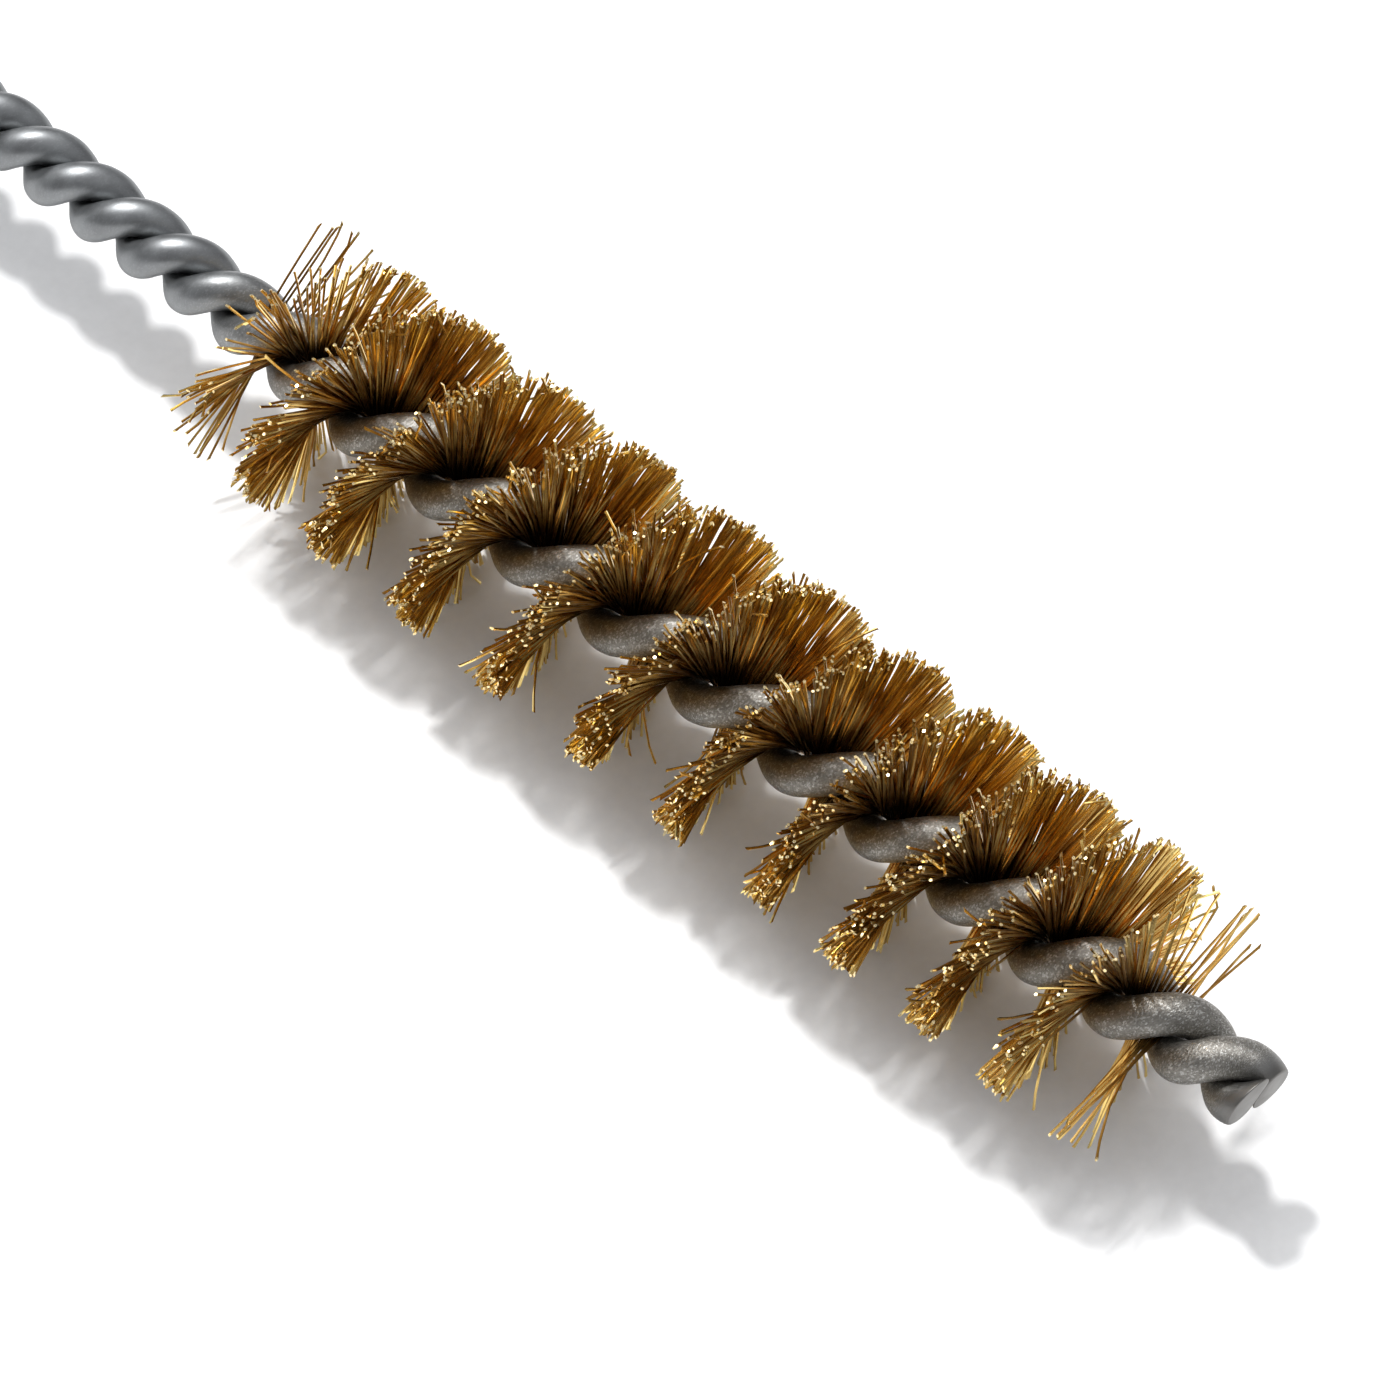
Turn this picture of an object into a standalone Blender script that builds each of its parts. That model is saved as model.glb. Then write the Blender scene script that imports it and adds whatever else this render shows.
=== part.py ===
"""Twisted-in-wire brass brush for cleaning soldering tips.

One galvanised steel wire is folded in two. The fold is bent into a ring handle, and the two legs are
twisted round each other. Straight brass filaments are laid across the pair before it is twisted, so the
twist clamps each one at its middle and winds the row into a double spiral.

Units are metres. +X runs along the brush from the ring to the cut tip, the ring lies flat in the XY
plane, and the origin is on the twist's axis, halfway along the brush.
"""

import math

import bmesh
import bpy
import numpy as np

MM = 0.001

# The wire, and the lengths along the axis
WIRE_DIAMETER = 1.38 * MM
TIP_LENGTH = 4.0 * MM  # bare twisted pair between the last filaments and the cut
HEAD_LENGTH = 40.4 * MM  # stretch that holds filaments
STEM_LENGTH = 28.41 * MM  # bare twisted pair between the ring's neck and the first filaments
HEAD_DIAMETER = 9.5 * MM  # across the filament ends

# The ring handle
RING_DIAMETER = 14.0 * MM  # outside
NECK_FILLET = 5.0 * MM  # radius of each leg's bend from the ring into the stem, on its centreline
NECK_UNTWIST = 3.0 * MM  # length over which the twist dies out into the ring

# The twist: places as shares of the head's length from its first filaments, and the advance in one full
# turn there, in wire diameters. A pair can't be twisted much tighter than three wire diameters a turn.
TWIST_LEADS = (
    (-0.094, 3.5),
    (0.06, 4.49),
    (0.2, 5.87),
    (0.5, 6.0),
    (0.78, 5.11),
    (0.93, 4.43),
    (1.045, 3.2),
)
TURN_POINTS = 12  # centreline points in one full turn

# The filaments
FILAMENT_LAYER = 0.52 * MM  # thickness of the clamped row where it passes between the legs
FILAMENT_SPREAD = 0.9 * MM  # thickness of the row at its outer ends, where the filaments splay
CLAMP_CLEARANCE = 0.05 * MM  # from the row to each leg
LEG_CLEARANCE = 0.10 * MM  # between the legs where no filament parts them
LAYER_EASE = 6.0 * MM  # length over which the row thins out and the legs close up, at each end
LAYER_LEAD = 1.5 * MM  # part of that length that lies past the last filament
BUNDLE_COUNT = 22  # stretches that the row is divided into
BUNDLE_CLEARANCE = 0.05 * MM  # between neighbouring stretches, besides the room for their leaning ends
BUNDLE_STEP = math.radians(16.0)  # largest turn between two rows of a bundle's mesh

WIRE_RADIUS = WIRE_DIAMETER / 2
RING_RADIUS = (RING_DIAMETER - WIRE_DIAMETER) / 2  # on the wire's centreline
NECK_OFFSET = WIRE_RADIUS + LEG_CLEARANCE / 2
RING_TO_NECK = math.sqrt((RING_RADIUS + NECK_FILLET) ** 2 - (NECK_OFFSET + NECK_FILLET) ** 2)
OVERALL_LENGTH = RING_DIAMETER / 2 + RING_TO_NECK + STEM_LENGTH + HEAD_LENGTH + TIP_LENGTH
TIP_X = OVERALL_LENGTH / 2
HEAD_END_X = TIP_X - TIP_LENGTH
HEAD_START_X = HEAD_END_X - HEAD_LENGTH
NECK_X = HEAD_START_X - STEM_LENGTH
RING_X = NECK_X - RING_TO_NECK
TRIM_ALLOWANCE = 2 * WIRE_DIAMETER  # wire left past the tip until it is cut off square
BUNDLE_GAP = BUNDLE_CLEARANCE + FILAMENT_LAYER / 4  # the twist leans a stretch's ends over by its thickness

COLLECTION_NAME = "tip_cleaning_brass_brush"


def eased(share):
    """Smooth step: 0 below 0, 1 above 1, with no corner at either."""
    held = np.clip(share, 0.0, 1.0)
    return held * held * (3.0 - 2.0 * held)


def lead_at(x):
    """Advance along the axis in one full turn, eased from each place in TWIST_LEADS to the next."""
    places = [HEAD_START_X + share * HEAD_LENGTH for share, _ in TWIST_LEADS]
    leads = [diameters * WIRE_DIAMETER for _, diameters in TWIST_LEADS]
    lead = np.full(np.shape(x), leads[0])
    for start, end, before, after in zip(places, places[1:], leads, leads[1:]):
        lead = lead + (after - before) * eased((x - start) / (end - start))
    return lead


def twist_table():
    """Fine table of x against the angle that the pair has turned since the ring, where it is 0."""
    x = np.linspace(NECK_X - NECK_UNTWIST, TIP_X + TRIM_ALLOWANCE, 20001)
    rate = 2 * math.pi / lead_at(x) * np.clip((x - x[0]) / NECK_UNTWIST, 0.0, 1.0)
    turned = np.concatenate([[0.0], np.cumsum((rate[1:] + rate[:-1]) / 2 * np.diff(x))])
    return x, turned


TABLE_X, TABLE_TURNED = twist_table()


def turned_at(x):
    """Angle turned since the ring. The twist is left-handed, so it counts downwards about +X."""
    return np.interp(x, TABLE_X, TABLE_TURNED)


def leg_gap(x):
    """Gap between the legs: it opens from the bare pair's clearance to hold the whole clamped row."""
    inside = np.minimum(x - HEAD_START_X, HEAD_END_X - x) + LAYER_LEAD
    full = FILAMENT_LAYER + 2 * CLAMP_CLEARANCE
    return LEG_CLEARANCE + (full - LEG_CLEARANCE) * eased(inside / LAYER_EASE)


def leg_offset(x):
    """Distance from the axis to a leg's centreline."""
    return WIRE_RADIUS + leg_gap(x) / 2


def leg_path():
    """Centreline points of one leg, from the ring's far end to past the tip."""
    fillet_turn = math.acos((NECK_OFFSET + NECK_FILLET) / (RING_RADIUS + NECK_FILLET))
    step = 2 * math.pi / TURN_POINTS
    ring_sweep = math.pi - (math.pi / 2 - fillet_turn)
    ring_angles = math.pi - np.arange(0.0, ring_sweep, step / 2)
    ring_x = RING_X + RING_RADIUS * np.cos(ring_angles)
    ring_y = RING_RADIUS * np.sin(ring_angles)

    fillet_angles = np.linspace(fillet_turn, 0.0, 9)[:-1]
    fillet_x = NECK_X - NECK_FILLET * np.sin(fillet_angles)
    fillet_y = NECK_OFFSET + NECK_FILLET * (1 - np.cos(fillet_angles))

    first = turned_at(NECK_X)
    last = TABLE_TURNED[-1]
    turned = np.linspace(first, last, math.ceil((last - first) / step) + 1)
    straight_x = np.interp(turned, TABLE_TURNED, TABLE_X)
    straight_y = leg_offset(straight_x)

    x = np.concatenate([ring_x, fillet_x, straight_x])
    y = np.concatenate([ring_y, fillet_y, straight_y])
    angle = -turned_at(x)
    return np.column_stack([x, y * np.cos(angle), y * np.sin(angle)])


def wire_path():
    """The whole folded wire: in along one leg, round the ring, and out along the other."""
    leg = leg_path()
    opposite = leg * (1.0, -1.0, -1.0)
    return np.concatenate([leg[::-1], opposite[1:]])


def metal(name, colour, roughness):
    """A metallic Principled material."""
    material = bpy.data.materials.new(name)
    material.use_nodes = True
    shader = material.node_tree.nodes["Principled BSDF"]
    shader.inputs["Base Color"].default_value = (*colour, 1.0)
    shader.inputs["Metallic"].default_value = 1.0
    shader.inputs["Roughness"].default_value = roughness
    material.diffuse_color = (*colour, 1.0)
    return material


def clear_scene():
    """Removes every object that the file opened with."""
    for old in list(bpy.data.objects):
        bpy.data.objects.remove(old, do_unlink=True)


def new_collection(name):
    """A collection in the scene."""
    collection = bpy.data.collections.new(name)
    bpy.context.scene.collection.children.link(collection)
    return collection


def swept_wire(name, points, collection):
    """A round bar along the points, as one closed mesh."""
    curve = bpy.data.curves.new(name, "CURVE")
    curve.dimensions = "3D"
    curve.bevel_depth = WIRE_RADIUS
    curve.bevel_resolution = 2
    curve.use_fill_caps = True
    spline = curve.splines.new("POLY")
    spline.points.add(len(points) - 1)
    spline.points.foreach_set("co", np.column_stack([points, np.ones(len(points))]).ravel())
    guide = bpy.data.objects.new(name + "_guide", curve)
    collection.objects.link(guide)
    graph = bpy.context.evaluated_depsgraph_get()
    mesh = bpy.data.meshes.new_from_object(guide.evaluated_get(graph))
    bpy.data.objects.remove(guide)
    shape = bmesh.new()
    shape.from_mesh(mesh)
    bmesh.ops.remove_doubles(shape, verts=shape.verts, dist=0.001 * MM)
    bmesh.ops.recalc_face_normals(shape, faces=shape.faces)
    shape.to_mesh(mesh)
    shape.free()
    wire = bpy.data.objects.new(name, mesh)
    collection.objects.link(wire)
    return wire


def block_cutter(name, low_x, high_x, side, collection):
    """A square block across the axis, for cutting only."""
    mesh = bpy.data.meshes.new(name)
    shape = bmesh.new()
    bmesh.ops.create_cube(shape, size=1.0)
    bmesh.ops.scale(shape, vec=(high_x - low_x, side, side), verts=shape.verts)
    shape.to_mesh(mesh)
    shape.free()
    cutter = bpy.data.objects.new(name, mesh)
    cutter.location.x = (low_x + high_x) / 2
    cutter.hide_render = True
    cutter.display_type = "WIRE"
    collection.objects.link(cutter)
    return cutter


def stem_wire(collection, cutters, axis):
    """The folded, twisted wire, sheared off square at the tip."""
    wire = swept_wire("stem_wire", wire_path(), collection)
    trim = block_cutter(
        "tip_trim", TIP_X, TIP_X + 2 * TRIM_ALLOWANCE, 4 * WIRE_DIAMETER, cutters
    )
    cut = wire.modifiers.new("sheared tip", "BOOLEAN")
    cut.operation = "DIFFERENCE"
    cut.solver = "EXACT"
    cut.object = trim
    wire.data.materials.append(metal("galvanised_steel_wire", (0.20, 0.205, 0.21), 0.42))
    wire.data.shade_smooth()
    wire.data.set_sharp_from_angle(angle=math.radians(50))
    wire.parent = axis
    trim.parent = axis
    return wire


def filament_bundle(name, start_x, end_x, material, collection, axis):
    """A stretch of the filament row: a grid on the spiral, thin in the clamp and thicker at its ends."""
    middle_x = (start_x + end_x) / 2
    clamp_edge = 1.1 * WIRE_DIAMETER
    half_clamp = clamp_edge / 2
    reach = HEAD_DIAMETER / 2
    across = np.array([-reach, -clamp_edge, -half_clamp, 0.0, half_clamp, clamp_edge, reach])
    swept = turned_at(end_x) - turned_at(start_x)
    rows = math.ceil(swept / BUNDLE_STEP)

    mesh = bpy.data.meshes.new(name)
    shape = bmesh.new()
    bmesh.ops.create_grid(shape, x_segments=rows, y_segments=len(across) - 1, size=1.0)
    shape.to_mesh(mesh)
    shape.free()
    flat = np.empty(len(mesh.vertices) * 3, np.float32)
    mesh.vertices.foreach_get("co", flat)
    flat = flat.reshape(-1, 3)

    x = start_x + (flat[:, 0] + 1) / 2 * (end_x - start_x)
    column = np.rint((flat[:, 1] + 1) / 2 * (len(across) - 1)).astype(int)
    distance = across[column]
    angle = math.pi / 2 - turned_at(x)
    placed = np.column_stack([x - middle_x, distance * np.cos(angle), distance * np.sin(angle)])
    mesh.vertices.foreach_set("co", placed.astype(np.float32).ravel())
    mesh.update()

    bundle = bpy.data.objects.new(name, mesh)
    collection.objects.link(bundle)
    bundle.location.x = middle_x
    bundle.parent = axis
    thinnest = (leg_gap(x) - 2 * CLAMP_CLEARANCE) / FILAMENT_SPREAD
    outwards = np.clip((np.abs(distance) - clamp_edge) / (reach - clamp_edge), 0.0, 1.0)
    spread = bundle.vertex_groups.new(name="spread")
    for index, weight in enumerate(thinnest + (1 - thinnest) * outwards):
        spread.add([index], float(weight), "REPLACE")
    thickness = bundle.modifiers.new("row thickness", "SOLIDIFY")
    thickness.thickness = FILAMENT_SPREAD
    thickness.offset = 0.0
    thickness.vertex_group = spread.name
    mesh.materials.append(material)
    return bundle


def filament_bundles(collection, axis):
    """The whole row, divided into stretches that turn through equal angles."""
    brass = metal("brass_filament", (0.45, 0.26, 0.07), 0.35)
    turned = np.linspace(turned_at(HEAD_START_X), turned_at(HEAD_END_X), BUNDLE_COUNT + 1)
    ends = np.interp(turned, TABLE_TURNED, TABLE_X)
    for number, (start_x, end_x) in enumerate(zip(ends, ends[1:]), start=1):
        filament_bundle(
            f"filament_bundle_{number:02d}",
            start_x + BUNDLE_GAP / 2,
            end_x - BUNDLE_GAP / 2,
            brass,
            collection,
            axis,
        )


def build():
    """Makes the brush."""
    clear_scene()
    brush = new_collection(COLLECTION_NAME)
    cutters = new_collection("cutters")
    cutters.hide_render = True
    axis = bpy.data.objects.new("twist_axis", None)
    axis.empty_display_size = 5 * MM
    brush.objects.link(axis)
    stem_wire(brush, cutters, axis)
    filament_bundles(brush, axis)


build()
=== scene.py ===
import math

import bpy
import numpy as np
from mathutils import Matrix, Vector


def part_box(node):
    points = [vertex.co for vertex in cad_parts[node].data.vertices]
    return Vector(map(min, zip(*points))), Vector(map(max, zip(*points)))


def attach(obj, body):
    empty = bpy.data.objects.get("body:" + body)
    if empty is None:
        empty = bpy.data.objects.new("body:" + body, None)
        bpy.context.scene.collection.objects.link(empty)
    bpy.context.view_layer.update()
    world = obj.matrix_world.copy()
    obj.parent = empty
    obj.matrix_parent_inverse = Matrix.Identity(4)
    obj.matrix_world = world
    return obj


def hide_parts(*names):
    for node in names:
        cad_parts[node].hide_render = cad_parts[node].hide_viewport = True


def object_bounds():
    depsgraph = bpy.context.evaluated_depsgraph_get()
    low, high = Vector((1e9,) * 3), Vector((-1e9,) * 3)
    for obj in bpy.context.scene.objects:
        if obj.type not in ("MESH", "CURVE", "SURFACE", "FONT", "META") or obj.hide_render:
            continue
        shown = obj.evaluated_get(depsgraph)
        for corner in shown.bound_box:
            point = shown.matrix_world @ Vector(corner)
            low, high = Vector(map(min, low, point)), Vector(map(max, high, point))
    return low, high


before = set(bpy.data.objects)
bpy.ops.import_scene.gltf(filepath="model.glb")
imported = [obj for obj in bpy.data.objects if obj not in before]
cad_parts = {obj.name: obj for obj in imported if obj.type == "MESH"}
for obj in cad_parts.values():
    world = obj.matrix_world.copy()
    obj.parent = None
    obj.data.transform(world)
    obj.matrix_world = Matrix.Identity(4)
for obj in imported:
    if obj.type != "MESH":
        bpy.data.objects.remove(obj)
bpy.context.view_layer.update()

# ---------------------------------------------------------------------------------------------------
# Stem wire. One length of galvanised steel wire, folded in two. The fold is the ring handle, and the
# legs are twisted left-handed round each other, gripping the filaments, and sheared off at the tip.
# ---------------------------------------------------------------------------------------------------
MM = 0.001
WIRE_RADIUS = 0.69 * MM
TIP_LENGTH = 4.0 * MM  # bare pair between the last filaments and the cut
HEAD_LENGTH = 40.4 * MM
STEM_LENGTH = 28.41 * MM
RING_RADIUS = 6.31 * MM  # on the wire's centreline
NECK_FILLET = 5.0 * MM  # radius of each leg's bend from the ring into the stem
NECK_UNTWIST = 3.0 * MM  # length over which the twist dies out into the ring
BARE_GAP = 0.01 * MM  # between the legs, which touch in the bare twist
HEAD_GAP = 0.62 * MM  # between the legs where the full row of filaments is clamped
GAP_EASE = 6.0 * MM  # length over which the gap opens at each end of the head
GAP_LEAD = 1.5 * MM  # part of that length that lies past the last filament
WIRE_SIDES = 36
ARC_POINTS, FILLET_POINTS = 90, 24  # centreline points on half the ring and on one bend
TURN_POINTS = 56  # centreline points in one full turn of the twist
CUT_ALLOWANCE = 4 * WIRE_RADIUS  # wire made past the tip, for the cut to take off
CUT_SLANT = math.radians(8.0)  # the shears weren't held quite square
CUT_TOWARDS = math.radians(-136.0)  # which way the cut face leans, about the axis from +Y
CUT_ROWS = 60  # rings of points that are drawn back from each end to the cut
CUT_GATHER = 1.6  # power by which those rings close up towards the cut
CUT_EDGE = 0.05 * MM  # radius that the shears leave on the cut's edge
LUMP_HEIGHT = 0.006 * MM  # unevenness of the zinc coat
LUMP_ROWS, LUMP_SIDES = 5, 4  # rings and sides in one lump
LUMP_SEED = 7
SHARP_ANGLE = math.radians(50.0)  # edges sharper than this stay crisp in the shading

# Places as shares of the head's length from its first filaments, and the advance in a full turn there,
# in wire diameters
TWIST_LEADS = (
    (-0.094, 3.5),
    (0.06, 4.49),
    (0.2, 5.87),
    (0.5, 6.0),
    (0.78, 5.11),
    (0.93, 4.43),
    (1.045, 3.2),
)

tip_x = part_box("stem_wire")[1].x
head_end_x = tip_x - TIP_LENGTH
head_start_x = head_end_x - HEAD_LENGTH
neck_x = head_start_x - STEM_LENGTH
neck_offset = WIRE_RADIUS + BARE_GAP / 2
ring_x = neck_x - math.sqrt((RING_RADIUS + NECK_FILLET) ** 2 - (neck_offset + NECK_FILLET) ** 2)


def eased(share):
    """Smooth step: 3 s squared less 2 s cubed, held at 0 and 1."""
    held = np.clip(share, 0.0, 1.0)
    return held * held * (3.0 - 2.0 * held)


def lead_at(x):
    """Advance in a full turn at x: each lead of TWIST_LEADS eases into the next between their places."""
    places = [head_start_x + share * HEAD_LENGTH for share, _ in TWIST_LEADS]
    leads = [diameters * 2 * WIRE_RADIUS for _, diameters in TWIST_LEADS]
    lead = np.full(np.shape(x), leads[0])
    for start, end, before, after in zip(places, places[1:], leads, leads[1:]):
        lead = lead + (after - before) * eased((x - start) / (end - start))
    return lead


# The angle turned since the ring is the sum of dx times 2 pi over the lead, from nothing at the ring
TABLE_STEPS = 20000
table_x = np.linspace(neck_x - NECK_UNTWIST, tip_x + CUT_ALLOWANCE, TABLE_STEPS + 1)
table_rate = 2 * math.pi / lead_at(table_x) * np.clip((table_x - table_x[0]) / NECK_UNTWIST, 0, 1)
table_turned = np.concatenate(
    [[0.0], np.cumsum((table_rate[1:] + table_rate[:-1]) / 2 * np.diff(table_x))]
)


def turned_at(x):
    """Angle turned since the ring, read from the table."""
    return np.interp(x, table_x, table_turned)


def in_head(x):
    """0 along the bare wire, easing to 1 where the row of filaments is full."""
    inside = np.minimum(x - head_start_x, head_end_x - x) + GAP_LEAD
    return eased(inside / GAP_EASE)


def leg_path():
    """One leg from the ring's far end: an arc, a fillet the other way, then a spiral whose angle is
    minus the angle turned. Returns points and a reference direction across each."""
    fillet_turn = math.acos((neck_offset + NECK_FILLET) / (RING_RADIUS + NECK_FILLET))
    arc = np.linspace(math.pi, math.pi / 2 - fillet_turn, ARC_POINTS)[:-1]
    fillet = np.linspace(fillet_turn, 0.0, FILLET_POINTS)[:-1]
    first, last = turned_at(neck_x), table_turned[-1]
    turned = np.linspace(first, last, int((last - first) / (2 * math.pi) * TURN_POINTS))
    straight_x = np.interp(turned, table_turned, table_x)
    straight_y = WIRE_RADIUS + (BARE_GAP + (HEAD_GAP - BARE_GAP) * in_head(straight_x)) / 2
    x = np.concatenate(
        [ring_x + RING_RADIUS * np.cos(arc), neck_x - NECK_FILLET * np.sin(fillet), straight_x]
    )
    y = np.concatenate(
        [RING_RADIUS * np.sin(arc), neck_offset + NECK_FILLET * (1 - np.cos(fillet)), straight_y]
    )
    angle = -turned_at(x)
    points = np.column_stack([x, y * np.cos(angle), y * np.sin(angle)])
    across = np.column_stack([np.zeros(len(x)), -np.sin(angle), np.cos(angle)])
    return points, across


def tangents(points):
    """Unit directions along a path: the difference of its neighbours, over its length."""
    along = np.gradient(points, axis=-2)
    return along / np.linalg.norm(along, axis=-1, keepdims=True)


def tube(points, across, radius, sides):
    """Rings of points round a path: centre + radius (u cos a + v sin a), where u is across made square
    to the path and v is square to both. The radius is one number or one for each point of the path."""
    along = tangents(points)
    u = across - (across * along).sum(-1, keepdims=True) * along
    u = u / np.linalg.norm(u, axis=-1, keepdims=True)
    v = np.cross(along, u)
    angle = np.arange(sides) * (2 * math.pi / sides)
    ring = u[..., None, :] * np.cos(angle)[:, None] + v[..., None, :] * np.sin(angle)[:, None]
    return points[..., None, :] + np.asarray(radius)[..., None, None] * ring


def tube_faces(rings, sides):
    """Quads between rings of points numbered ring by ring, facing outwards."""
    ring, side = np.meshgrid(np.arange(rings - 1), np.arange(sides), indexing="ij")
    here = ring * sides + side
    beside = ring * sides + (side + 1) % sides
    return np.stack([here, beside, beside + sides, here + sides], -1).reshape(-1, 4)


def lumps(rows, sides, draw):
    """A smooth random field over a tube's grid, closed round it: random heights at the corners of
    coarse cells, eased from each to the next."""
    heights = draw.normal(0, 1, (rows // LUMP_ROWS + 2, sides // LUMP_SIDES))
    row, side = np.arange(rows) / LUMP_ROWS, np.arange(sides) / LUMP_SIDES
    low_row, low_side = row.astype(int), side.astype(int)
    part_row, part_side = eased(row - low_row)[:, None], eased(side - low_side)[None, :]
    beside = np.roll(heights, -1, axis=1)
    rounded = heights[:, low_side] * (1 - part_side) + beside[:, low_side] * part_side
    return rounded[low_row] * (1 - part_row) + rounded[low_row + 1] * part_row


# Both ends are cut by one slanting plane: each line along the wire stops where it meets the plane
cut_normal = np.array(
    [
        math.cos(CUT_SLANT),
        math.sin(CUT_SLANT) * math.cos(CUT_TOWARDS),
        math.sin(CUT_SLANT) * math.sin(CUT_TOWARDS),
    ]
)
cut_point = np.array([tip_x - 2 * WIRE_RADIUS * math.tan(CUT_SLANT), 0.0, 0.0])


def cut_end(rings, normal, point, rows):
    """The first rows of rings drawn back to the plane: each side's line is measured from a ring safely
    inside, and its points close up towards where the line crosses the plane. The edge is rounded: at a
    height h above the cut the ring is smaller by r less the root of r squared less (r - h) squared."""
    height = (rings - point) @ normal
    inside = rows - 1
    sides = np.arange(rings.shape[1])
    crossing = np.argmax(height < 0, axis=0)
    before, after = height[crossing - 1, sides], height[crossing, sides]
    end = crossing - after / (after - before)
    share = (np.arange(rows) / inside) ** CUT_GATHER
    place = end + (inside - end) * share[:, None]
    low = np.floor(place).astype(int)
    part = (place - low)[..., None]
    moved = rings[low, sides] * (1 - part) + rings[np.minimum(low + 1, inside), sides] * part
    into_edge = np.clip(1 + (moved - point) @ normal / CUT_EDGE, 0, 1)[..., None]
    shrink = CUT_EDGE / WIRE_RADIUS * (1 - np.sqrt(1 - into_edge**2))
    moved += (moved.mean(axis=1, keepdims=True) - moved) * shrink
    return np.concatenate([moved, rings[rows:]])


leg, leg_across = leg_path()
wire_points = np.concatenate([leg[::-1], (leg * (1, -1, -1))[1:]])
wire_across = np.concatenate([leg_across[::-1], leg_across[1:]])
wire_rings = tube(wire_points, wire_across, WIRE_RADIUS, WIRE_SIDES)
outwards = (wire_rings - wire_points[:, None]) / WIRE_RADIUS
zinc_lumps = lumps(len(wire_points), WIRE_SIDES, np.random.default_rng(LUMP_SEED))
wire_rings = wire_rings + outwards * (LUMP_HEIGHT * zinc_lumps)[..., None]
wire_rings = cut_end(wire_rings, cut_normal, cut_point, CUT_ROWS)
wire_rings = cut_end(wire_rings[::-1], cut_normal, cut_point, CUT_ROWS)[::-1]


def mesh_object(name, vertices, faces, materials):
    """An object at the origin whose mesh has those points and faces, shaded smooth."""
    mesh = bpy.data.meshes.new(name)
    mesh.from_pydata(vertices.tolist(), [], faces)
    mesh.update()
    mesh.shade_smooth()
    mesh.set_sharp_from_angle(angle=SHARP_ANGLE)
    for material in materials:
        mesh.materials.append(material)
    piece = bpy.data.objects.new(name, mesh)
    bpy.context.scene.collection.objects.link(piece)
    return piece


def point_attribute(piece, name, kind, values):
    """Stores one value, or one vector, for each vertex under that name."""
    attribute = piece.data.attributes.new(name, kind, "POINT")
    attribute.data.foreach_set("vector" if kind == "FLOAT_VECTOR" else "value", np.ravel(values))


def srgb(hex_colour):
    """An sRGB hex colour as linear RGBA."""
    parts = [int(hex_colour[i : i + 2], 16) / 255 for i in (1, 3, 5)]
    linear = [c / 12.92 if c <= 0.04045 else ((c + 0.055) / 1.055) ** 2.4 for c in parts]
    return (*linear, 1.0)


def new_material(name):
    """A node material, with its Principled shader."""
    material = bpy.data.materials.new(name)
    material.use_nodes = True
    return material, material.node_tree.nodes["Principled BSDF"]


def add(material, kind, inputs=None, stops=(), **settings):
    """Adds a node. Settings are its properties, inputs its sockets' values or the sockets that feed
    them, and stops a colour ramp's places, each with a hex colour or a grey level."""
    tree = material.node_tree
    node = tree.nodes.new(kind)
    for name, value in settings.items():
        setattr(node, name, value)
    for name, value in (inputs or {}).items():
        if isinstance(value, bpy.types.NodeSocket):
            tree.links.new(value, node.inputs[name])
        else:
            node.inputs[name].default_value = value
    for number, (position, colour) in enumerate(stops):
        elements = node.color_ramp.elements
        element = elements[number] if number < 2 else elements.new(position)
        element.position = position
        element.color = srgb(colour) if isinstance(colour, str) else (colour, colour, colour, 1.0)
    return node


# Galvanised steel wire: cold drawn, then dipped in zinc. The zinc shows as a dull blue-grey skin whose
# fine crystals glitter one by one, with faint lines along the wire from the die. Handling has smoothed
# the stem, and the shears have left a smear of smooth metal at the cut.
GRAIN = 0.05  # zinc crystals across, in mm: real ones are finer, but would not show
PATCH = 0.7  # cloudy patches across, in mm
DIE_LINE, DIE_LINE_LENGTH = 0.06, 4.0  # across and along, in mm
SHEAR_SMEAR = 0.9 * MM  # length that the shears have burnished
PIT_DEPTH = 0.028 * MM
DIE_LINE_DEPTH, DIE_LINE_STRENGTH = 0.002 * MM, 0.5
HANDLED_END = -4 * MM  # from the first filaments: the zinc starts to keep its grain here
HANDLED_FADE = 8 * MM  # and has all of it this much further on
HANDLED_GRAIN = 0.12  # share of the grain that handling has left

galvanised, shader = new_material("galvanised steel wire")
shader.inputs["Metallic"].default_value = 1.0
skin = add(galvanised, "ShaderNodeAttribute", attribute_name="skin").outputs["Vector"]
grainy = add(galvanised, "ShaderNodeAttribute", attribute_name="grainy").outputs["Fac"]
smeared = add(galvanised, "ShaderNodeAttribute", attribute_name="sheared").outputs["Fac"]
crystals = add(galvanised, "ShaderNodeTexVoronoi", {"Vector": skin, "Scale": 1 / GRAIN})
crystal = add(galvanised, "ShaderNodeSeparateColor", {"Color": crystals.outputs["Color"]})
patches = add(
    galvanised, "ShaderNodeTexNoise", {"Vector": skin, "Scale": 1 / PATCH, "Detail": 3.0}
).outputs["Fac"]
handled = add(
    galvanised,
    "ShaderNodeValToRGB",
    {"Fac": patches},
    stops=((0.3, "#787a7c"), (0.7, "#8b8e90")),
)
weathered = add(
    galvanised,
    "ShaderNodeValToRGB",
    {"Fac": crystal.outputs["Red"]},
    stops=((0.0, "#716e69"), (0.7, "#86837d"), (1.0, "#b0afab")),
)
zinc = add(
    galvanised,
    "ShaderNodeMix",
    {0: grainy, 6: handled.outputs["Color"], 7: weathered.outputs["Color"]},
    data_type="RGBA",
)
wire_colour = add(
    galvanised,
    "ShaderNodeMix",
    {0: smeared, 6: zinc.outputs[2], 7: srgb("#6e6c69")},
    data_type="RGBA",
)
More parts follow.
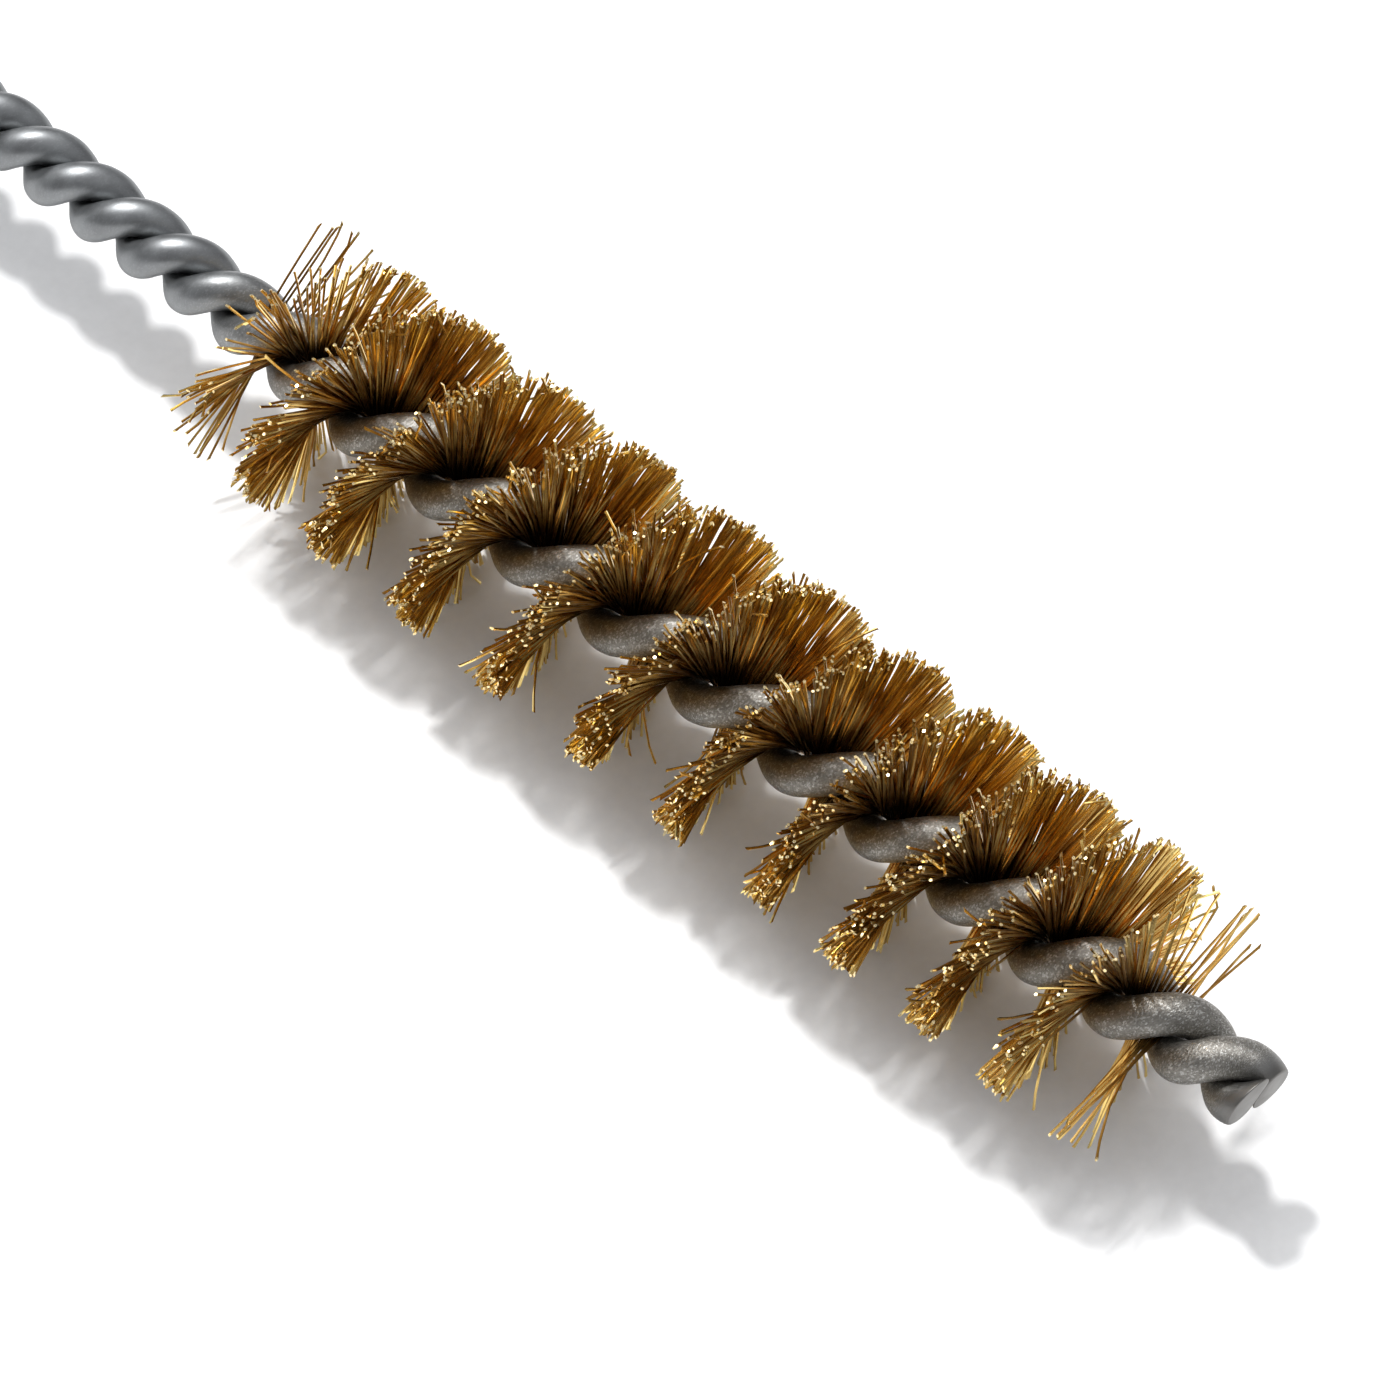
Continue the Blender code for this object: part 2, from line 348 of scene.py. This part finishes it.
wire_gloss = add(
    galvanised, "ShaderNodeValToRGB", {"Fac": patches}, stops=((0.3, 0.36), (0.7, 0.48))
)
pits = add(
    galvanised,
    "ShaderNodeTexNoise",
    {"Vector": skin, "Scale": 1 / GRAIN, "Detail": 3.0, "Roughness": 0.6},
)
pit_height = add(
    galvanised, "ShaderNodeMath", {0: pits.outputs["Fac"], 1: grainy}, operation="MULTIPLY"
)
pitted = add(
    galvanised,
    "ShaderNodeBump",
    {"Height": pit_height.outputs[0], "Strength": 1.0, "Distance": PIT_DEPTH},
)
stretch = (1 / DIE_LINE, 1 / DIE_LINE, 1 / DIE_LINE_LENGTH)
stretched = add(galvanised, "ShaderNodeMapping", {"Vector": skin, "Scale": stretch})
die_lines = add(
    galvanised,
    "ShaderNodeTexNoise",
    {"Vector": stretched.outputs[0], "Scale": 1.0, "Detail": 1.0},
)
lined = add(
    galvanised,
    "ShaderNodeBump",
    {
        "Height": die_lines.outputs["Fac"],
        "Strength": DIE_LINE_STRENGTH,
        "Distance": DIE_LINE_DEPTH,
        "Normal": pitted.outputs["Normal"],
    },
)
galvanised.node_tree.links.new(wire_colour.outputs[2], shader.inputs["Base Color"])
galvanised.node_tree.links.new(wire_gloss.outputs["Color"], shader.inputs["Roughness"])
galvanised.node_tree.links.new(lined.outputs["Normal"], shader.inputs["Normal"])

rows = len(wire_rings)
vertices = wire_rings.reshape(-1, 3)
faces = tube_faces(rows, WIRE_SIDES).tolist()
faces.append(list(range(WIRE_SIDES))[::-1])
faces.append(list(range((rows - 1) * WIRE_SIDES, rows * WIRE_SIDES)))
stem = mesh_object("twisted_stem_wire", vertices, faces, [galvanised])

# Each vertex's place on the wire's skin, in mm: a circle round it, so that the pattern has no seam, and
# the length along it. The grain fades out towards the handled stem and in the smear at the cut.
around = np.arange(WIRE_SIDES) * (2 * math.pi / WIRE_SIDES)
along = np.concatenate([[0.0], np.cumsum(np.linalg.norm(np.diff(wire_points, axis=0), axis=1))])
circle = np.stack([np.cos(around), np.sin(around)], -1) * WIRE_RADIUS
skin_places = np.concatenate(
    [
        np.broadcast_to(circle, (rows, WIRE_SIDES, 2)),
        np.broadcast_to(along[:, None, None], (rows, WIRE_SIDES, 1)),
    ],
    -1,
)
point_attribute(stem, "skin", "FLOAT_VECTOR", skin_places / MM)
from_cut = (cut_point - vertices) @ cut_normal
unhandled = eased((vertices[:, 0] - (head_start_x + HANDLED_END)) / HANDLED_FADE)
unsheared = eased(from_cut / SHEAR_SMEAR)
grain_left = HANDLED_GRAIN + (1 - HANDLED_GRAIN) * unhandled
point_attribute(stem, "grainy", "FLOAT", grain_left * unsheared)
point_attribute(stem, "sheared", "FLOAT", 1 - unsheared)
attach(stem, "root")
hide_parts("stem_wire")

# ---------------------------------------------------------------------------------------------------
# Brass filaments. Straight lengths of hard drawn brass wire, laid across the legs several deep and
# clamped at their middles when the pair is twisted, then trimmed round to the head's diameter. Past the
# clamp the row opens out like a fan, in wisps that leave gaps between them.
# ---------------------------------------------------------------------------------------------------
FILAMENT_RADIUS = 0.046 * MM
HEAD_RADIUS = 4.75 * MM
TRIM_OFFSET = 0.2 * MM  # the trimmed cylinder's axis lies this far from the wire's, towards -Y
BUNDLE_COUNT = 22  # stretches of the row, each a piece of its own
FILAMENT_SIDES = 5
FILAMENTS_PER_MM = (  # place in mm from the head's start, and how many are laid in a mm there
    (-0.45, 6),
    (0.3, 8),
    (0.8, 26),
    (3.0, 52),
    (5.0, 84),
    (36.6, 84),
    (39.2, 52),
    (39.4, 12),
    (40.8, 9),
)
LAID_STEPS = 4000
FILAMENT_SEED = 20
CLAMP_HALF = 1.0 * MM  # a filament is held straight this far each side of the axis
ROW_FAN = 0.085  # slope along the axis that the row's outermost layers open out to
STRAY_SLOPE = 0.036  # each filament's own slope, along the axis and within the row's surface
WISPS = (  # width, slope along the axis, slope within the row's surface
    (0.26 * MM, 0.028, 0.070),
    (0.09 * MM, 0.012, 0.045),
)
CURL = 0.012 / MM  # curvature of most filaments
BENT_SHARE, BENT_CURL = 0.04, 0.07 / MM  # a few are bent more
UNRULY, UNRULY_LENGTH = 1.6, 1.3 * MM  # the first ones are the most disordered
LENGTH_SPREAD = 0.09 * MM  # scatter of the trimmed ends
STRAY_LENGTH = 2.0 * MM  # the loose filaments at each end have been handled, which has dulled them
STRAY_SHINE = 0.2  # how far up the rise of that length the outermost ones start
BURR = 1.22  # the shears spread the cut ends
CUT_TILT = 0.8  # slope of the cuts
HOOK_START = 0.9  # the shears bend the last tenth, most of them a little
HOOK_SLOPE, HOOKED_SHARE, HOOKED_SLOPE = 0.06, 0.08, 0.5
RING_SHARES = np.array(  # where a filament's rings of points are, as shares of its reach
    [-1, -0.965, -0.9, -0.7, -0.45, -0.21, 0.21, 0.45, 0.7, 0.9, 0.965, 1.0]
)

draw = np.random.default_rng(FILAMENT_SEED)
fill_x = head_start_x + MM * np.array([place for place, _ in FILAMENTS_PER_MM])
laid_x = np.linspace(fill_x[0], fill_x[-1], LAID_STEPS + 1)
laid_rate = np.interp(laid_x, fill_x, [count / MM for _, count in FILAMENTS_PER_MM])
laid = np.concatenate(
    [[0.0], np.cumsum((laid_rate[1:] + laid_rate[:-1]) / 2 * np.diff(laid_x))]
)
filament_count = int(laid[-1])
filament_x = np.interp(np.arange(filament_count) + draw.random(filament_count), laid, laid_x)


def wisp_slopes(x, width, size):
    """A slope shared by neighbours, for both halves of each filament: random values a width apart along
    the head, with a straight line from each to the next."""
    knots = np.arange(laid_x[0], laid_x[-1] + width, width)
    halves = [np.interp(x, knots, draw.normal(0, size, len(knots))) for _ in range(2)]
    return np.column_stack(halves)


def filament_rings(x):
    """Rings of points of the filaments that cross the axis at those x, at the spiral's angle there. Past
    the clamp each strays along the axis, and sideways within the row, by slope times distance plus half
    its curvature times distance squared, and it ends on the trimmed cylinder, in a slanting cut."""
    count = len(x)
    angle = math.pi / 2 - turned_at(x)
    out = np.column_stack([np.zeros(count), np.cos(angle), np.sin(angle)])
    side = np.column_stack([np.zeros(count), -np.sin(angle), np.cos(angle)])
    layer = draw.uniform(-1, 1, count)
    room = np.clip((BARE_GAP + (HEAD_GAP - BARE_GAP) * in_head(x)) / 2 - FILAMENT_RADIUS, 0, None)
    reach = HEAD_RADIUS + draw.normal(0, LENGTH_SPREAD, (count, 2)) - LENGTH_SPREAD / 2
    reach += TRIM_OFFSET * np.cos(angle)[:, None] * np.array([1, -1])
    share = RING_SHARES[None, :]
    half = np.broadcast_to((share > 0).astype(int), (count, RING_SHARES.size))
    distance = share * np.take_along_axis(reach, half, 1)
    past = np.clip(np.abs(distance) - CLAMP_HALF, 0, None)
    past_hook = np.clip(np.abs(share) - HOOK_START, 0, None) * HEAD_RADIUS
    hooked = draw.random((count, 2)) < HOOKED_SHARE
    unruly = 1 + UNRULY * np.exp(-(x - laid_x[0]) / UNRULY_LENGTH)[:, None]
    bent = np.where(draw.random((count, 2)) < BENT_SHARE * unruly**2, BENT_CURL, CURL)
    strays = []
    for way in range(2):
        slope = draw.normal(0, STRAY_SLOPE, (count, 2)) * unruly
        for wisp in WISPS:
            slope = slope + wisp_slopes(x, wisp[0], wisp[1 + way]) * unruly
        if way == 0:
            slope = slope + ROW_FAN * layer[:, None] * np.array([-1, 1])
        curl = draw.normal(0, 1, (count, 2)) * bent
        hook = draw.normal(0, 1, (count, 2)) * np.where(hooked, HOOKED_SLOPE, HOOK_SLOPE)
        slope, curl, hook = (np.take_along_axis(each, half, 1) for each in (slope, curl, hook))
        strays.append(slope * past + curl * past**2 / 2 + hook * past_hook)
    sideways = (layer * room)[:, None] + strays[1]
    points = distance[..., None] * out[:, None] + sideways[..., None] * side[:, None]
    points[..., 0] += x[:, None] + strays[0]
    radius = np.where(np.abs(share) < 1, FILAMENT_RADIUS, BURR * FILAMENT_RADIUS)
    axis = np.broadcast_to(np.array([1.0, 0.0, 0.0]), points.shape)
    rings = tube(points, axis, np.broadcast_to(radius, distance.shape), FILAMENT_SIDES)
    along = tangents(points)
    for end in (0, -1):
        tilt = draw.normal(0, CUT_TILT, (count, 1, 3))
        off = rings[:, end] - points[:, end, None]
        rings[:, end] += (off * tilt).sum(-1, keepdims=True) * along[:, end, None]
    return rings


# Hard drawn brass wire: a yellow-brown metal, bright where the die has just polished it and toned down
# by handling, with painted shade that darkens it towards the roots. No two filaments have quite the same
# tone.
TARNISH = 0.9 * MM  # tarnish patches across
TEARING = 0.05 * MM  # torn patches of the cut ends across

brass, shader = new_material("hard drawn brass wire")
shader.inputs["Metallic"].default_value = 1.0
reach = add(brass, "ShaderNodeAttribute", attribute_name="reach").outputs["Fac"]
drawn_tone = add(brass, "ShaderNodeAttribute", attribute_name="tone").outputs["Fac"]
place = add(brass, "ShaderNodeTexCoord").outputs["Object"]
tarnish = add(brass, "ShaderNodeTexNoise", {"Vector": place, "Scale": 1 / TARNISH, "Detail": 2.0})
# Both ramps darken from the tips to the roots by reach: painted shade among the clamped filaments,
# deepest at the roots
dull_with_painted_root_shade = add(
    brass,
    "ShaderNodeValToRGB",
    {"Fac": reach},
    stops=((0.15, "#2f1e0d"), (0.4, "#805825"), (0.75, "#9c7132"), (1.0, "#a37a3a")),
)
clean_with_painted_root_shade = add(
    brass,
    "ShaderNodeValToRGB",
    {"Fac": reach},
    stops=((0.15, "#76552a"), (0.4, "#f2c46f"), (0.75, "#ffdc88"), (1.0, "#ffe496")),
)
shine = add(
    brass, "ShaderNodeMath", {0: tarnish.outputs["Fac"], 1: drawn_tone}, operation="ADD"
)
cleanness = add(
    brass, "ShaderNodeMapRange", {"Value": shine.outputs[0], "From Min": 0.45, "From Max": 1.3}
)
brass_colour = add(
    brass,
    "ShaderNodeMix",
    {0: cleanness.outputs[0], 6: dull_with_painted_root_shade.outputs["Color"], 7: clean_with_painted_root_shade.outputs["Color"]},
    data_type="RGBA",
)
brass_gloss = add(
    brass, "ShaderNodeMapRange", {"Value": drawn_tone, "To Min": 0.32, "To Max": 0.13}
)
brass.node_tree.links.new(brass_colour.outputs[2], shader.inputs["Base Color"])
brass.node_tree.links.new(brass_gloss.outputs[0], shader.inputs["Roughness"])

# Freshly sheared brass: the cut ends have no tarnish, and their torn grain scatters the light, so each
# one that faces the light shows as a pale gold dot.
sheared, shader = new_material("freshly sheared brass")
shader.inputs["Metallic"].default_value = 1.0
place = add(sheared, "ShaderNodeTexCoord").outputs["Object"]
tearing = add(
    sheared, "ShaderNodeTexNoise", {"Vector": place, "Scale": 1 / TEARING}
).outputs["Fac"]
torn = add(
    sheared, "ShaderNodeValToRGB", {"Fac": tearing}, stops=((0.3, "#e9b95c"), (0.6, "#fff0c2"))
)
torn_gloss = add(
    sheared, "ShaderNodeMapRange", {"Value": tearing, "To Min": 0.15, "To Max": 0.4}
)
sheared.node_tree.links.new(torn.outputs["Color"], shader.inputs["Base Color"])
sheared.node_tree.links.new(torn_gloss.outputs[0], shader.inputs["Roughness"])

all_rings = filament_rings(filament_x)
from_end = np.minimum(filament_x - laid_x[0], laid_x[-1] - filament_x)
stray_shine = eased(STRAY_SHINE + (1 - STRAY_SHINE) * from_end / STRAY_LENGTH)
all_tones = draw.random(filament_count) * stray_shine
bundle_turned = np.linspace(turned_at(head_start_x), turned_at(head_end_x), BUNDLE_COUNT + 1)
bundle_ends = np.interp(bundle_turned, table_turned, table_x)
bundle_of = np.clip(np.searchsorted(bundle_ends, filament_x) - 1, 0, BUNDLE_COUNT - 1)
one_filament = tube_faces(len(RING_SHARES), FILAMENT_SIDES)
points_each = len(RING_SHARES) * FILAMENT_SIDES
near_cap = np.arange(FILAMENT_SIDES)[::-1]
far_cap = points_each - FILAMENT_SIDES + np.arange(FILAMENT_SIDES)
for number in range(BUNDLE_COUNT):
    chosen = bundle_of == number
    count = int(chosen.sum())
    first = np.arange(count)[:, None, None] * points_each
    quads = (one_filament[None] + first).reshape(-1, 4).tolist()
    caps = (np.stack([near_cap, far_cap])[None] + first).reshape(-1, FILAMENT_SIDES).tolist()
    points = all_rings[chosen].reshape(-1, 3)
    name = f"brass_filaments_{number + 1:02d}"
    bundle = mesh_object(name, points, quads + caps, [brass, sheared])
    is_cap = np.repeat([0, 1], [len(quads), len(caps)]).astype(np.int32)
    bundle.data.polygons.foreach_set("material_index", is_cap)
    each_point = np.ones((count, len(RING_SHARES), FILAMENT_SIDES))
    # Each point's share of its filament's reach, which sets how much painted shade the brass ramps give
    # it towards the roots
    point_attribute(bundle, "reach", "FLOAT", each_point * np.abs(RING_SHARES)[:, None])
    point_attribute(bundle, "tone", "FLOAT", each_point * all_tones[chosen, None, None])
    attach(bundle, "root")
    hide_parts(f"filament_bundle_{number + 1:02d}")

# ---------------------------------------------------------------------------------------------------
# The table top that the brush lies on, the light and the camera.
# ---------------------------------------------------------------------------------------------------
TABLE_HALF = 1.5
CARD_FIBRE = 0.4 * MM  # real fibres are finer, but would not show
SKY_LOW, SKY_HIGH = 0.18, 0.80  # brightness of the studio at the table's height and overhead
LIGHT_FROM = (-0.454, 0.131, 0.88)
LIGHTS = (("lamp", 2.6, 6.0), ("diffuser", 1.2, 50.0))  # strength, and degrees across as seen
CAMERA_AZIMUTH, CAMERA_ELEVATION = math.radians(43.26), math.radians(55.25)
CAMERA_DISTANCE = 160.8 * MM
LENS, FILM_WIDTH = 126.1, 36.0  # in mm
AIM_X, AIM_Y = 1.1 * MM, -1.0 * MM  # from the middle of the head

# White card: unglazed paper board, matt, and a little cloudy where its fibres bunch
low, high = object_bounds()
card, shader = new_material("white card")
place = add(card, "ShaderNodeTexCoord").outputs["Object"]
fibres = add(card, "ShaderNodeTexNoise", {"Vector": place, "Scale": 1 / CARD_FIBRE})
tint = add(
    card,
    "ShaderNodeValToRGB",
    {"Fac": fibres.outputs["Fac"]},
    stops=((0.3, "#f0f0f0"), (0.7, "#f4f4f4")),
)
card.node_tree.links.new(tint.outputs["Color"], shader.inputs["Base Color"])
shader.inputs["Roughness"].default_value = 0.9
corners = np.array([[-1, -1, 0], [1, -1, 0], [1, 1, 0], [-1, 1, 0]]) * TABLE_HALF
corners = corners + np.array([0, 0, low.z])
table = mesh_object("white_table", corners, [[0, 1, 2, 3]], [card])

# The studio brightens evenly from the table's height to overhead, so the metals show light and shade
studio = bpy.data.worlds.new("studio")
studio.use_nodes = True
background = studio.node_tree.nodes["Background"]
towards = add(studio, "ShaderNodeTexCoord").outputs["Generated"]
height = add(studio, "ShaderNodeSeparateXYZ", {"Vector": towards}).outputs["Z"]
level = add(
    studio, "ShaderNodeMapRange", {"Value": height, "To Min": SKY_LOW, "To Max": SKY_HIGH}
)
studio.node_tree.links.new(level.outputs[0], background.inputs["Strength"])
background.inputs["Color"].default_value = srgb("#f9fbff")
bpy.context.scene.world = studio

# A lamp behind a diffuser: most of its light comes from a small patch, and the rest from all over the
# cloth
for name, strength, spread in LIGHTS:
    light = bpy.data.objects.new(name, bpy.data.lights.new(name, "SUN"))
    light.data.energy = strength
    light.data.angle = math.radians(spread)
    light.rotation_euler = Vector(LIGHT_FROM).to_track_quat("Z", "Y").to_euler()
    bpy.context.scene.collection.objects.link(light)

# The camera looks down at the head from the +X, -Y side
aim = Vector(((head_start_x + head_end_x) / 2 + AIM_X, AIM_Y, 0.0))
level_part = math.cos(CAMERA_ELEVATION)
back = Vector(
    (
        math.sin(CAMERA_AZIMUTH) * level_part,
        -math.cos(CAMERA_AZIMUTH) * level_part,
        math.sin(CAMERA_ELEVATION),
    )
)
camera = bpy.data.objects.new("camera", bpy.data.cameras.new("camera"))
camera.data.lens = LENS
camera.data.sensor_width = FILM_WIDTH
camera.data.clip_start = 0.01
camera.data.clip_end = 10.0
camera.location = aim + back * CAMERA_DISTANCE
camera.rotation_euler = back.to_track_quat("Z", "Y").to_euler()
bpy.context.scene.collection.objects.link(camera)
bpy.context.scene.camera = camera
bpy.context.scene.view_settings.view_transform = "Standard"
